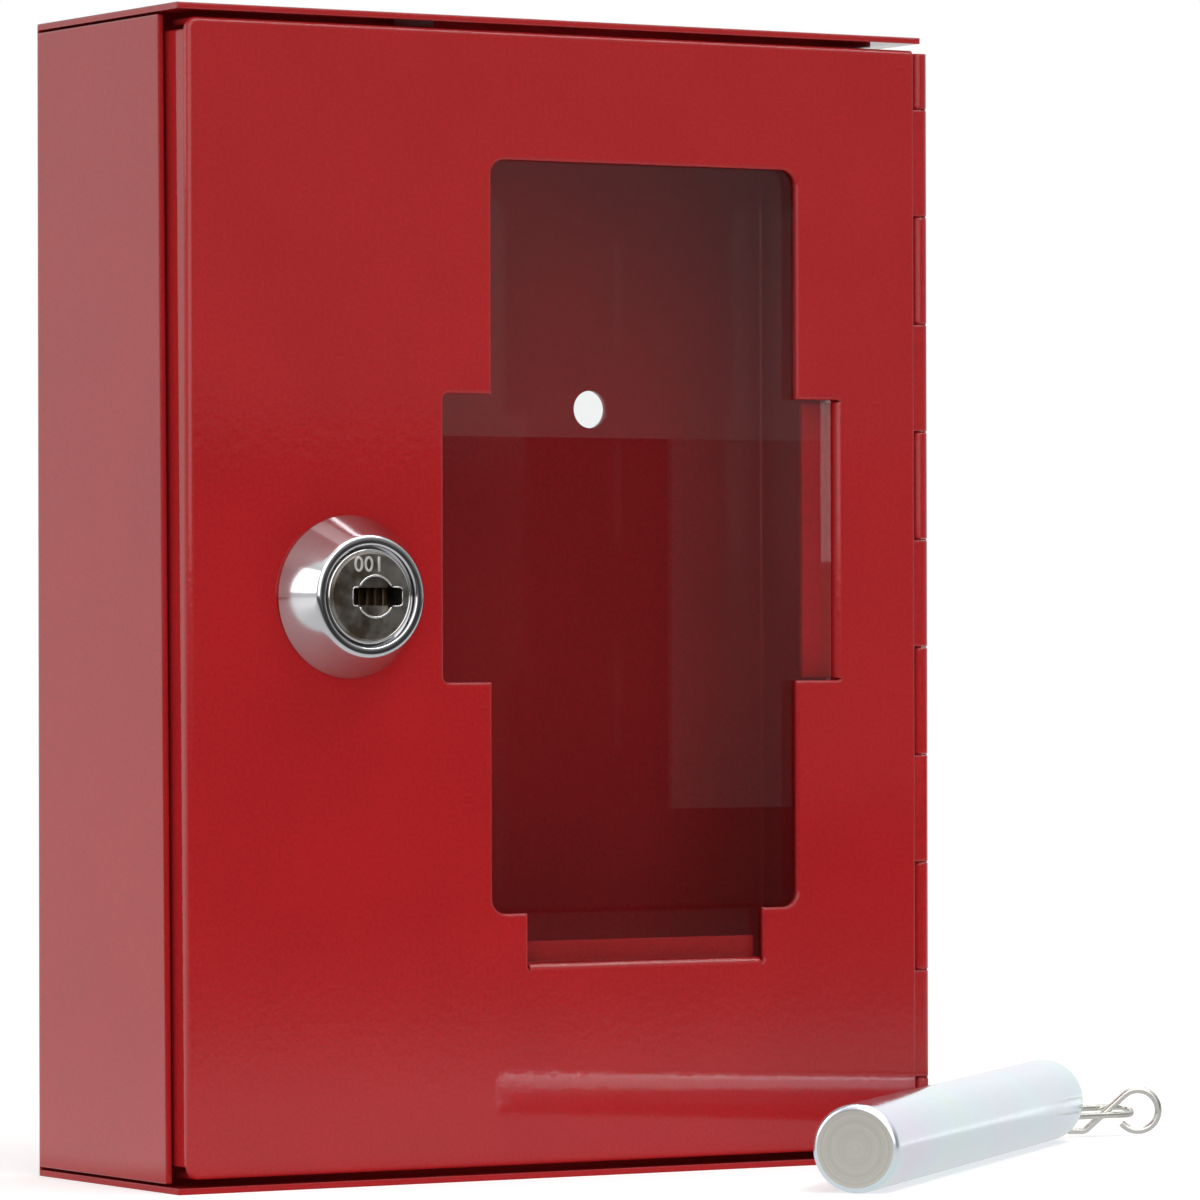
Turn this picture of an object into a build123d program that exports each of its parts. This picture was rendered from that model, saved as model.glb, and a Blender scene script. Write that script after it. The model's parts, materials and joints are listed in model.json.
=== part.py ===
"""Break glass key box: folded sheet steel box, hinged door with a glass pane, cam lock and striker.

Frame: millimetres, +Z up, front faces -Y, origin at the centre of the underside of the base.
"""
from build123d import *
from math import cos, radians, sin
import os

# ---- casing: one blank folded into a back, a top, a base and two side walls ----
box_width = 112.0
box_depth = 40.0
box_height = 150.0
sheet = 0.8                    # steel sheet of the casing and the door
casing_bend = 1.2              # outside radius of the folds round the back
seam_gap = 0.4                 # open seam between the plates and the side walls
left_setback_top = 5.3         # left wall's front edge behind the plates, at the top
left_setback_base = 3.5        # the same at the base
edge_bevel = 0.25              # bevel on the window's cut edge
wall_hole_radius = 2.55        # two holes for the wall screws
wall_hole_spacing = 55.0
wall_hole_drop = 49.0          # from the top of the box

# ---- hinge: knuckles curled alternately from the right wall and the door ----
pin_radius = 0.4
pin_clearance = 0.05
knuckle_gap = 0.25
end_knuckle = 7.45             # the first and the last knuckle are about half as long
hinge_base = 3.6               # lower end of the hinge above the base
hinge_drop = 2.08              # upper end of the hinge below the top of the box
inner_knuckles = 9
leaf_setback = 0.2             # door's knuckles behind its front face
curl_arc = 290.0               # degrees that a knuckle's strip goes round the pin
curl_clearance = 0.35          # between a knuckle and the sheet cut away beside it
relief_length = 12.0           # right wall stands as low as the hinge over this length

# ---- door: a shallow folded pan ----
door_left_gap = 0.5            # door to the left wall's inner face
door_top_gap = 0.9             # door to the top plate
door_base_gap = 1.0            # door to the base plate
door_right_gap = 0.3           # door sheet to the wall's inner face at the hinge
return_depth = 6.5
return_end_gap = 2.6           # top and base returns stop short of the hinge side
door_corner = 1.6              # at the free side; square at the hinge side
door_bend = 0.8                # outside rounding of the door's front edges

# ---- window: an upright opening with side arms and a lower notch ----
window_base = 34.3
window_drop = 18.3             # window's top below the top of the box
window_corner = 2.0
arm_base = 64.2
arm_top = 101.4
arm_corner = 0.8
arm_lock_gap = 14.0            # lock's axis to the end of the left arm
arm_right_margin = 12.5        # end of the right arm to the side of the box
arm_depth = 7.2                # end of an arm to the window's side
notch_inset = 5.3              # window's side to the notch's side

# ---- pane: held by a tab folded back at the right arm, a sill at the notch and two clips at the left ----
tab_bend = 1.0
tab_lip = 4.0
tab_relief = 0.3               # slit at each end of a tab
sill_height = 27.8             # upper face of the lower tab, which carries the pane
sill_lip = 2.8
pane_thickness = 2.0
pane_left_cover = 1.8          # pane's left edge beyond the end of the left arm
pane_side_clearance = 0.3
pane_face_clearance = 0.05
pane_rise = 4.3                # pane above the window's top
pane_slot_clearance = 0.8      # opening in the door's top return above the pane
clip_sheet = 0.8
clip_length = 12.0
clip_foot = 6.0
clip_lip = 3.6
clip_inset = 22.0              # middle of a clip from the pane's end

# ---- cam lock ----
lock_inset = 24.5              # lock's axis to the left side of the box
lock_z = 75.2
rosette_radius = 10.4
rosette_height = 5.9
rosette_edge = 0.4
ring_radius = 7.35             # outer edge of the flat front ring
ring_chamfer = 0.35
counterbore_radius = 6.45
counterbore_depth = 1.0
barrel_radius = 9.0
barrel_flats = 16.4
barrel_length = 12.0
barrel_clearance = 0.12
plug_radius = 6.1
plug_tail_radius = 5.15
plug_clearance = 0.05
plug_shoulder = 9.0            # depth at which the plug steps down
plug_recess = 0.1              # plug face behind the ring
plug_bevel = 0.65
keyway_length = 7.0
keyway_height = 2.3
keyway_offset = 1.0            # keyway's middle beside the plug's axis
keyway_depth = 14.0
keyway_dish_radius = 2.65
keyway_dish_depth = 1.2
keyway_dish_offset = 0.7
wafer_count = 5
wafer_pitch = 2.1
wafer_first = 2.0
wafer_thickness = 1.0
wafer_length = 10.6
wafer_height = 5.0
wafer_clearance = 0.05
wafer_window_length = 7.2
wafer_window_height = 2.7
lock_washer_radius = 11.6
lock_washer_thickness = 0.6
nut_across_flats = 22.0
nut_thickness = 3.0
drive_square = 6.0
drive_clearance = 0.05
stop_washer_radius = 8.0
stop_washer_thickness = 0.8
cam_thickness = 1.6
cam_reach = 21.5               # lock's axis to the cam's tip
cam_width = 12.0
cam_tip_width = 9.0
cam_face_gap = 0.05
cam_washer_radius = 5.0
cam_washer_thickness = 0.8
cam_screw_radius = 1.95
cam_screw_length = 7.0
cam_screw_head_radius = 3.6
cam_screw_head_height = 2.2
cam_screw_head_bevel = 0.9
screw_slot_width = 0.9
screw_slot_depth = 0.9

# ---- catch on the left wall and hook on the back ----
catch_thickness = 1.2
catch_reach = 7.6
catch_foot = 11.7
catch_height = 18.0
catch_clearance = 0.4          # between the catch and the turned cam
hook_x = 0.0
hook_thickness = 1.0
hook_width = 6.0
hook_top_gap = 3.1             # hook's plate to the top of the inside
hook_plate_height = 14.0
hook_arm_rise = 5.0            # arm's underside above the plate's lower end
hook_reach = 10.0
hook_tip = 5.0
hook_bend = 0.9

# ---- striker: a steel rod with a wire bail and a link, lying on the floor before the box ----
striker_radius = 5.66
striker_length = 100.0
striker_clearance = 0.8        # between the rod and the hinge's knuckles
striker_ahead = 60.0           # near end before the hinge, measured along the rod
striker_heading = 41.4         # degrees from +X
striker_chamfer = 0.5
striker_round = 2.4            # the far end's rounding, made as two flats
bail_wire = 0.45               # wire radii
bail_half_width = 1.2          # from the bail's middle to each leg
bail_height = 3.5
bail_tilt = 23.0               # the leg nearer the box's front lies lower
bail_socket = 4.0
bail_straight = 1.2
bail_bend_radius = 4.0
bail_reach = 10.5
bail_clearance = 0.05
wire_sides = 8                 # drawn wire's section, in flats
link_wire = 0.5
link_radius = 2.85
link_heading = -31.1           # heading of the upright plane in which the link stands
link_grip = 7.7                # along the bail's straight run, where the link passes through it
link_upper_angle = 132.0
link_lower_angle = 228.0
link_lower_leg = 0.5
link_tail = 2.4
link_knee_radius = 1.2
link_floor_gap = 0.3

os.makedirs("parts", exist_ok=True)

front = -box_depth / 2
back = box_depth / 2
left = -box_width / 2
right = box_width / 2
inner_right = right - sheet
top_underside = box_height - sheet

knuckle_inner = pin_radius + pin_clearance
knuckle_outer = knuckle_inner + sheet
hinge_x = inner_right + knuckle_outer
hinge_y = front + leaf_setback + knuckle_outer
hinge_top = box_height - hinge_drop
knuckle_pitch = (hinge_top - hinge_base - 2 * end_knuckle) / inner_knuckles
wall_end_y = hinge_y + knuckle_outer + curl_clearance

door_left = left + sheet + door_left_gap
door_right = inner_right - door_right_gap
door_top = top_underside - door_top_gap
door_base = sheet + door_base_gap
door_width = door_right - door_left
door_height = door_top - door_base
door_mid_x = (door_left + door_right) / 2
door_mid_z = (door_top + door_base) / 2
door_rear = front + sheet
return_end = front + return_depth

lock_x = left + lock_inset
arm_left_end = lock_x + arm_lock_gap
arm_right_end = right - arm_right_margin
window_x = (arm_left_end + arm_right_end) / 2
arm_reach = (arm_right_end - arm_left_end) / 2
window_width = 2 * (arm_reach - arm_depth)
window_top = box_height - window_drop
notch_width = window_width - 2 * notch_inset

pane_front = door_rear + pane_face_clearance
pane_back = pane_front + pane_thickness
lip_front = pane_back + pane_face_clearance
lip_back = lip_front + sheet
tab_face = arm_right_end - tab_bend
pane_left = arm_left_end - pane_left_cover
pane_right = tab_face - pane_side_clearance
pane_width = pane_right - pane_left
pane_mid_x = (pane_left + pane_right) / 2
pane_base = sill_height + pane_face_clearance
pane_top = window_top + pane_rise
clip_heights = {"lower": pane_base + clip_inset, "upper": pane_top - clip_inset}


def knuckle_spans():
    """Lower and upper end of each knuckle, from the base up; even ones belong to the casing."""
    lengths = [end_knuckle] + [knuckle_pitch] * inner_knuckles + [end_knuckle]
    spans = []
    start = hinge_base
    for index, length in enumerate(lengths):
        low = start + (knuckle_gap / 2 if index > 0 else 0)
        high = start + length - (knuckle_gap / 2 if index < len(lengths) - 1 else 0)
        spans.append((low, high))
        start += length
    return spans


def curled_strip(start_angle):
    """Face of a strip curled round the pin, on the active sketch."""
    with BuildLine() as strip:
        outer = CenterArc((hinge_x, hinge_y), knuckle_outer, start_angle, curl_arc)
        inner = CenterArc((hinge_x, hinge_y), knuckle_inner, start_angle, curl_arc)
        Line(outer @ 0, inner @ 0)
        Line(outer @ 1, inner @ 1)
    make_face(strip.edges())


# ---------------------------------------------------------------- casing
with BuildPart() as casing:
    with BuildSketch(Plane.XZ.offset(front)):
        with Locations((0, box_height / 2)):
            Rectangle(box_width, box_height)
    extrude(amount=box_depth)
    fillet(casing.faces().sort_by(Axis.Y)[-1].edges(), casing_bend)
    offset(amount=-sheet, openings=casing.faces().sort_by(Axis.Y)[0])
    # open seams: the side walls stop short of the top and base plates
    seam_x = (right - sheet / 2)
    with BuildSketch(Plane.XZ.offset(casing_bend - back)):
        with Locations((-seam_x, sheet + seam_gap / 2), (seam_x, sheet + seam_gap / 2),
                       (-seam_x, top_underside - seam_gap / 2), (seam_x, top_underside - seam_gap / 2)):
            Rectangle(sheet, seam_gap)
    extrude(amount=box_depth, mode=Mode.SUBTRACT)
    # left wall: its front edge stands back and runs slightly off square
    with BuildSketch(Plane.YZ.offset(left)):
        with BuildLine():
            Polyline((front, sheet), (front + left_setback_base, sheet),
                     (front + left_setback_top, top_underside), (front, top_underside), close=True)
        make_face()
    extrude(amount=sheet, mode=Mode.SUBTRACT)
    # right wall: cut back behind the hinge, and lowered to the hinge's ends over the relief
    with BuildSketch(Plane.YZ.offset(inner_right)):
        with Locations(((front + wall_end_y) / 2, box_height / 2)):
            Rectangle(wall_end_y - front, top_underside - sheet)
        with Locations((front + relief_length / 2, (hinge_top + top_underside) / 2)):
            Rectangle(relief_length, top_underside - hinge_top)
        with Locations((front + relief_length / 2, (hinge_base + sheet) / 2)):
            Rectangle(relief_length, hinge_base - sheet)
    extrude(amount=sheet, mode=Mode.SUBTRACT)
    # knuckles curled outwards from the wall's front edge
    for low, high in knuckle_spans()[0::2]:
        with BuildSketch(Plane.XY.offset(low)):
            curled_strip(180)
            with Locations((inner_right + sheet / 2, (hinge_y + wall_end_y) / 2)):
                Rectangle(sheet, wall_end_y - hinge_y)
        extrude(amount=high - low)
    # screw holes in the back
    with BuildSketch(Plane.XZ.offset(-back)):
        wall_hole_height = box_height - wall_hole_drop
        with Locations((0, wall_hole_height)):
            with GridLocations(wall_hole_spacing, 0, 2, 1):
                Circle(wall_hole_radius)
    extrude(amount=sheet, mode=Mode.SUBTRACT)
casing.part.label = "casing"

# ---------------------------------------------------------------- door
with BuildPart() as door:
    with BuildSketch(Plane.XZ.offset(-return_end)):
        with Locations((door_mid_x, door_mid_z)):
            Rectangle(door_width, door_height)
        fillet(vertices().group_by(Axis.X)[0], door_corner)
    extrude(amount=return_depth)
    fillet(door.faces().sort_by(Axis.Y)[0].edges().sort_by(Axis.X)[:-1], door_bend)
    with BuildSketch(Plane.XZ.offset(-return_end)):
        with Locations((door_mid_x, door_mid_z)):
            RectangleRounded(door_width - 2 * sheet, door_height - 2 * sheet, door_corner - sheet)
        # the hinge side has no return, and the returns stop short at the corners
        with Locations((door_right, door_mid_z)):
            Rectangle(2 * return_end_gap, door_height)
        with Locations((door_left, door_top), (door_left, door_base)):
            Rectangle(2 * door_corner, 2 * door_corner)
        # opening in the top return, through which the pane slides in
        with Locations((pane_mid_x, door_top)):
            Rectangle(pane_width + 2 * pane_slot_clearance, 2 * sheet)
    extrude(amount=return_depth - sheet, mode=Mode.SUBTRACT)
    # window
    with BuildSketch(Plane.XZ.offset(-front)):
        with Locations((window_x, (window_base + window_top) / 2)):
            RectangleRounded(window_width, window_top - window_base, window_corner)
        with Locations((window_x, (arm_base + arm_top) / 2)):
            RectangleRounded(2 * arm_reach, arm_top - arm_base, arm_corner)
        notch_base = sill_height - tab_bend
        with Locations((window_x, (notch_base + arm_base) / 2)):
            RectangleRounded(notch_width, arm_base - notch_base, arm_corner)
    extrude(amount=-sheet, mode=Mode.SUBTRACT)
    chamfer(door.faces().sort_by(Axis.Y)[0].inner_wires()[0].edges(), edge_bevel)
    # right tab: folded back beside the pane, then inwards behind it
    with BuildSketch(Plane.XY.offset(arm_base + tab_relief)):
        tab_root = tab_face + 2 * tab_bend
        with BuildLine():
            Polyline((tab_root, front), (tab_face, front), (tab_face, lip_front),
                     (tab_face - tab_lip, lip_front), (tab_face - tab_lip, lip_back),
                     (tab_face + sheet, lip_back), (tab_face + sheet, door_rear),
                     (tab_root, door_rear), close=True)
        make_face()
        fillet(vertices().group_by(Axis.Y)[0].sort_by(Axis.X)[0], tab_bend)
        fillet(vertices().group_by(Axis.Y)[-1].sort_by(Axis.X)[-1], tab_bend)
    extrude(amount=arm_top - arm_base - 2 * tab_relief)
    # lower tab: carries the pane's foot and stands up behind it
    with BuildSketch(Plane.YZ.offset(window_x - notch_width / 2 + tab_relief)):
        root_z = sill_height - 2 * tab_bend
        with BuildLine():
            Polyline((front, root_z), (front, sill_height), (lip_front, sill_height),
                     (lip_front, sill_height + sill_lip), (lip_back, sill_height + sill_lip),
                     (lip_back, sill_height - sheet), (door_rear, sill_height - sheet),
                     (door_rear, root_z), close=True)
        make_face()
        front_corner = vertices().group_by(Axis.X)[0].sort_by(Axis.Y)[-1]
        rear_corner = vertices().group_by(Axis.X)[-1].sort_by(Axis.Y)[0]
        fillet([front_corner, rear_corner], tab_bend)
    extrude(amount=notch_width - 2 * tab_relief)
    # knuckles curled from the door's front sheet
    for low, high in knuckle_spans()[1::2]:
        with BuildSketch(Plane.XY.offset(low)):
            curled_strip(270)
            leaf_start = door_right - 2 * door_bend
            with Locations(((leaf_start + hinge_x) / 2, front + leaf_setback + sheet / 2)):
                Rectangle(hinge_x - leaf_start, sheet)
        extrude(amount=high - low)
    # hole for the lock, with flats that keep the barrel from turning
    with BuildSketch(Plane.XZ.offset(-front)):
        with Locations((lock_x, lock_z)):
            Circle(barrel_radius + barrel_clearance)
            Rectangle(3 * barrel_radius, barrel_flats + 2 * barrel_clearance, mode=Mode.INTERSECT)
    extrude(amount=-sheet, mode=Mode.SUBTRACT)
door.part.label = "door"

# ---------------------------------------------------------------- hinge pin
with BuildPart() as hinge_pin:
    with BuildSketch(Plane.XY.offset(hinge_base)):
        with Locations((hinge_x, hinge_y)):
            Circle(pin_radius)
    extrude(amount=hinge_top - hinge_base)
hinge_pin.part.label = "hinge_pin"

# ---------------------------------------------------------------- glass pane and its clips
with BuildPart() as glass_pane:
    with BuildSketch(Plane.XZ.offset(-pane_back)):
        with Locations((pane_mid_x, (pane_base + pane_top) / 2)):
            Rectangle(pane_width, pane_top - pane_base)
    extrude(amount=pane_thickness)
glass_pane.part.label = "glass_pane"

clips = {}
for place, height in clip_heights.items():
    with BuildPart() as clip:
        with BuildSketch(Plane.XY.offset(height - clip_length / 2)):
            clip_face = pane_left - pane_side_clearance
            clip_back = lip_front + clip_sheet
            with BuildLine():
                Polyline((clip_face, door_rear), (clip_face, lip_front), (clip_face + clip_lip, lip_front),
                         (clip_face + clip_lip, clip_back), (clip_face - clip_sheet, clip_back),
                         (clip_face - clip_sheet, door_rear + clip_sheet),
                         (clip_face - clip_foot, door_rear + clip_sheet),
                         (clip_face - clip_foot, door_rear), close=True)
            make_face()
            fillet(vertices().group_by(Axis.Y)[-1].sort_by(Axis.X)[0], clip_sheet)
        extrude(amount=clip_length)
    clip.part.label = f"pane_clip_{place}"
    clips[place] = clip

# ---------------------------------------------------------------- cam lock
# Lock planes: lock_face looks out of the door; depth counts from the door's face into the box.
lock_axis = Axis((lock_x, front, lock_z), (0, 1, 0))
lock_section = Plane(origin=(lock_x, front, lock_z), x_dir=(1, 0, 0), z_dir=(0, 0, 1))


def lock_plane(depth):
    """Plane across the lock's axis, at a depth behind the door's face, looking out of the door."""
    return Plane(origin=(lock_x, front + depth, lock_z), x_dir=(1, 0, 0), z_dir=(0, -1, 0))


bore_radius = plug_radius + plug_clearance
tail_bore = plug_tail_radius + plug_clearance
with BuildPart() as lock_housing:
    with BuildSketch(lock_section):
        with BuildLine():
            Polyline((counterbore_radius, -rosette_height), (ring_radius, -rosette_height),
                     (ring_radius + ring_chamfer, ring_chamfer - rosette_height),
                     (rosette_radius, -rosette_edge), (rosette_radius, 0), (barrel_radius, 0),
                     (barrel_radius, barrel_length), (tail_bore, barrel_length),
                     (tail_bore, plug_shoulder), (bore_radius, plug_shoulder),
                     (bore_radius, counterbore_depth - rosette_height),
                     (counterbore_radius, counterbore_depth - rosette_height), close=True)
        make_face()
    revolve(axis=lock_axis)
    with BuildSketch(lock_plane(barrel_length)):
        Circle(2 * barrel_radius)
        Rectangle(4 * barrel_radius, barrel_flats, mode=Mode.SUBTRACT)
    extrude(amount=barrel_length, mode=Mode.SUBTRACT)
lock_housing.part.label = "lock_housing"

drive_depth = barrel_length + stop_washer_thickness + 2 * cam_face_gap
cam_rear = drive_depth + cam_thickness
with BuildPart() as lock_plug:
    with BuildSketch(lock_plane(plug_shoulder)):
        Circle(plug_radius)
    extrude(amount=plug_shoulder + rosette_height - plug_recess)
    chamfer(lock_plug.faces().sort_by(Axis.Y)[0].edges(), plug_bevel)
    with BuildSketch(lock_plane(barrel_length)):
        Circle(plug_tail_radius)
    extrude(amount=barrel_length - plug_shoulder)
    with BuildSketch(lock_plane(cam_rear - cam_face_gap)):
        Rectangle(drive_square, drive_square)
    extrude(amount=cam_rear - cam_face_gap - barrel_length)
    # keyway with its dished mouth
    face_depth = plug_recess - rosette_height
    with BuildSketch(lock_plane(face_depth)):
        with Locations((keyway_offset, 0)):
            Rectangle(keyway_length, keyway_height)
    extrude(amount=-keyway_depth, mode=Mode.SUBTRACT)
    with BuildSketch(lock_plane(face_depth)):
        with Locations((keyway_dish_offset, 0)):
            Circle(keyway_dish_radius)
    extrude(amount=-keyway_dish_depth, mode=Mode.SUBTRACT)
    # slots in which the wafers slide
    for number in range(wafer_count):
        with BuildSketch(lock_plane(wafer_first - rosette_height + wafer_clearance
                                    + wafer_thickness + (number + 1) * wafer_pitch)):
            Rectangle(3 * plug_radius, wafer_height + 2 * wafer_clearance)
        extrude(amount=wafer_thickness + 2 * wafer_clearance, mode=Mode.SUBTRACT)
    # tapped hole for the cam screw
    with BuildSketch(lock_plane(cam_rear - cam_face_gap)):
        Circle(cam_screw_radius)
    extrude(amount=cam_screw_length, mode=Mode.SUBTRACT)
lock_plug.part.label = "lock_plug"

with BuildPart() as plug_wafers:
    for number in range(wafer_count):
        with BuildSketch(lock_plane(wafer_first - rosette_height + wafer_thickness
                                    + (number + 1) * wafer_pitch)):
            Rectangle(wafer_length, wafer_height)
            with Locations((keyway_offset, 0)):
                Rectangle(wafer_window_length, wafer_window_height, mode=Mode.SUBTRACT)
        extrude(amount=wafer_thickness)
plug_wafers.part.label = "plug_wafers"

with BuildPart() as lock_washer:
    with BuildSketch(lock_plane(sheet + lock_washer_thickness)):
        Circle(lock_washer_radius)
        Circle(barrel_radius + barrel_clearance, mode=Mode.SUBTRACT)
    extrude(amount=lock_washer_thickness)
lock_washer.part.label = "lock_washer"

with BuildPart() as lock_nut:
    with BuildSketch(lock_plane(sheet + lock_washer_thickness + nut_thickness)):
        RegularPolygon(nut_across_flats / 2, 6, major_radius=False, rotation=30)
        Circle(barrel_radius + barrel_clearance, mode=Mode.SUBTRACT)
    extrude(amount=nut_thickness)
lock_nut.part.label = "lock_nut"

drive_hole = drive_square + 2 * drive_clearance
with BuildPart() as stop_washer:
    with BuildSketch(lock_plane(barrel_length + cam_face_gap + stop_washer_thickness)):
        Circle(stop_washer_radius)
        Rectangle(drive_hole, drive_hole, mode=Mode.SUBTRACT)
    extrude(amount=stop_washer_thickness)
stop_washer.part.label = "stop_washer"

with BuildPart() as lock_cam:
    with BuildSketch(lock_plane(cam_rear)):
        # hangs straight down at rest, narrowing to a rounded tip
        tip_radius = cam_tip_width / 2
        with BuildLine():
            shoulder = CenterArc((0, 0), cam_width / 2, 0, 180)
            tip = CenterArc((0, tip_radius - cam_reach), tip_radius, 180, 180)
            Line(shoulder @ 1, tip @ 0)
            Line(tip @ 1, shoulder @ 0)
        make_face()
        Rectangle(drive_hole, drive_hole, mode=Mode.SUBTRACT)
    extrude(amount=cam_thickness)
lock_cam.part.label = "lock_cam"

with BuildPart() as cam_washer:
    with BuildSketch(lock_plane(cam_rear + cam_washer_thickness)):
        Circle(cam_washer_radius)
        Circle(cam_screw_radius + drive_clearance, mode=Mode.SUBTRACT)
    extrude(amount=cam_washer_thickness)
cam_washer.part.label = "cam_washer"

head_depth = cam_rear + cam_washer_thickness
with BuildPart() as cam_screw:
    with BuildSketch(lock_plane(head_depth + cam_screw_head_height)):
        Circle(cam_screw_head_radius)
    extrude(amount=cam_screw_head_height)
    chamfer(cam_screw.faces().sort_by(Axis.Y)[-1].edges(), cam_screw_head_bevel)
    with BuildSketch(lock_plane(head_depth)):
        Circle(cam_screw_radius - drive_clearance)
    extrude(amount=cam_screw_length)
    with BuildSketch(lock_plane(head_depth + cam_screw_head_height)):
        Rectangle(3 * cam_screw_head_radius, screw_slot_width)
    extrude(amount=screw_slot_depth, mode=Mode.SUBTRACT)
cam_screw.part.label = "cam_screw"

# ---------------------------------------------------------------- catch
catch_rear = front + drive_depth - catch_clearance
catch_front = catch_rear - catch_thickness
wall_face = left + sheet
with BuildPart() as catch:
    with BuildSketch(Plane.XY.offset(lock_z - catch_height / 2)):
        with BuildLine():
            Polyline((wall_face, catch_front), (wall_face + catch_reach, catch_front),
                     (wall_face + catch_reach, catch_rear), (wall_face + catch_thickness, catch_rear),
                     (wall_face + catch_thickness, catch_front + catch_foot),
                     (wall_face, catch_front + catch_foot), close=True)
        make_face()
        fillet(vertices().group_by(Axis.Y)[0].sort_by(Axis.X)[0], catch_thickness)
    extrude(amount=catch_height)
catch.part.label = "catch"

# ---------------------------------------------------------------- key hook
hook_rear = back - sheet
hook_front = hook_rear - hook_thickness - hook_reach
hook_plate_top = top_underside - hook_top_gap
hook_plate_base = hook_plate_top - hook_plate_height
hook_arm_height = hook_plate_base + hook_arm_rise
arm_top_z = hook_arm_height + hook_thickness
with BuildPart() as key_hook:
    with BuildSketch(Plane.YZ.offset(hook_x - hook_width / 2)):
        with BuildLine():
            Polyline((hook_rear, hook_plate_base), (hook_rear, hook_plate_top),
                     (hook_rear - hook_thickness, hook_plate_top), (hook_rear - hook_thickness, arm_top_z),
                     (hook_front + hook_thickness, arm_top_z),
                     (hook_front + hook_thickness, arm_top_z + hook_tip),
                     (hook_front, arm_top_z + hook_tip), (hook_front, hook_arm_height),
                     (hook_rear - hook_thickness, hook_arm_height),
                     (hook_rear - hook_thickness, hook_plate_base), close=True)
        make_face()
        fillet(vertices().group_by(Axis.X)[0].sort_by(Axis.Y)[0], hook_bend)
    extrude(amount=hook_width)
key_hook.part.label = "key_hook"

# ---------------------------------------------------------------- striker
heading = radians(striker_heading)
along = Vector(cos(heading), sin(heading), 0)
beside = Vector(along.Y, -along.X, 0)
up = Vector(0, 0, 1)
striker_side = knuckle_outer + striker_clearance + striker_radius
striker_origin = Vector(hinge_x, hinge_y, striker_radius) + beside * striker_side - along * striker_ahead
striker_section = Plane(origin=striker_origin, x_dir=along, z_dir=beside)
bail_root = striker_origin + along * striker_length + up * (bail_height - striker_radius)
leg_offset = bail_half_width * cos(radians(bail_tilt))
leg_drop = bail_half_width * sin(radians(bail_tilt))
with BuildPart() as striker:
    with BuildSketch(striker_section):
        with BuildLine():
            round_inset = striker_round * (1 - cos(radians(45)))
            Polyline((0, 0), (0, striker_radius - striker_chamfer), (striker_chamfer, striker_radius),
                     (striker_length - striker_round, striker_radius),
                     (striker_length - round_inset, striker_radius - round_inset),
                     (striker_length, striker_radius - striker_round), (striker_length, 0), close=True)
        make_face()
    revolve(axis=Axis(striker_origin, along))
    # socket for the bail's two legs
    with BuildSketch(Plane(origin=bail_root, x_dir=beside * leg_offset - up * leg_drop, z_dir=along)):
        SlotCenterToCenter(2 * bail_half_width, 2 * (bail_wire + bail_clearance))
    extrude(amount=-bail_socket - bail_clearance, mode=Mode.SUBTRACT)
striker.part.label = "striker"


def bail_leg(side):
    """Points of one leg: its end in the socket, the bend's start, middle and end, the crown's start."""
    level = up * (-side * leg_drop)
    start = bail_root + along * bail_straight
    centre = start + beside * bail_bend_radius + level
    radius = bail_bend_radius - side * leg_offset
    halfway = Vector(-sin(heading / 2), cos(heading / 2), 0)
    bend_end = centre + Vector(0, radius, 0)
    return (bail_root - along * bail_socket + beside * (side * leg_offset) + level,
            start + beside * (side * leg_offset) + level, centre + halfway * radius,
            bend_end, bend_end + Vector(bail_reach, 0, 0))


with BuildPart() as striker_bail:
    with BuildLine() as bail_path:
        near = bail_leg(1)
        far = bail_leg(-1)
        Line(near[0], near[1])
        ThreePointArc(near[1], near[2], near[3])
        Line(near[3], near[4])
        ThreePointArc(near[4], (near[4] + far[4]) * (1 / 2) + Vector(bail_half_width, 0, 0), far[4])
        Line(far[4], far[3])
        ThreePointArc(far[3], far[2], far[1])
        Line(far[1], far[0])
    with BuildSketch(Plane(origin=near[0], z_dir=along)):
        RegularPolygon(bail_wire, wire_sides)
    sweep(path=bail_path.wires()[0])
striker_bail.part.label = "striker_bail"

# Link: an open ring on edge; its upper end runs down through the bail and ends in a tail on the floor.
link_turn = radians(link_heading)
link_right = Vector(cos(link_turn), sin(link_turn), 0)
link_level = link_radius + link_wire + link_floor_gap
upper = radians(link_upper_angle)
lower = radians(link_lower_angle)
grip_run = (link_radius * sin(upper) + link_level - bail_height) / -cos(upper)
grip_offset = link_radius * cos(upper) - grip_run * sin(upper)
grip = (near[3] + far[3]) * (1 / 2) + Vector(link_grip, 0, 0)
link_origin = Vector(grip.X, grip.Y, link_level) - link_right * grip_offset
link_plane = Plane(origin=link_origin, x_dir=link_right, z_dir=link_right.cross(up))
upper_end = (link_radius * cos(upper), link_radius * sin(upper))
lower_end = (link_radius * cos(lower), link_radius * sin(lower))
knee_run = link_radius * (1 + sin(upper)) / -cos(upper)
knee = (upper_end[0] - knee_run * sin(upper), -link_radius)
lower_tip = (lower_end[0] + link_lower_leg * sin(lower), lower_end[1] - link_lower_leg * cos(lower))
with BuildPart() as striker_link:
    with BuildLine(link_plane) as link_path:
        Line(lower_tip, lower_end)
        CenterArc((0, 0), link_radius, link_lower_angle, link_upper_angle - link_lower_angle + 360)
        FilletPolyline(upper_end, knee, (knee[0] - link_tail, knee[1]), radius=link_knee_radius)
    link_wire_path = link_path.wires()[0]
    with BuildSketch(Plane(origin=link_wire_path @ 0, z_dir=link_wire_path % 0)):
        RegularPolygon(link_wire, wire_sides)
    sweep(path=link_wire_path)
striker_link.part.label = "striker_link"

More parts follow.
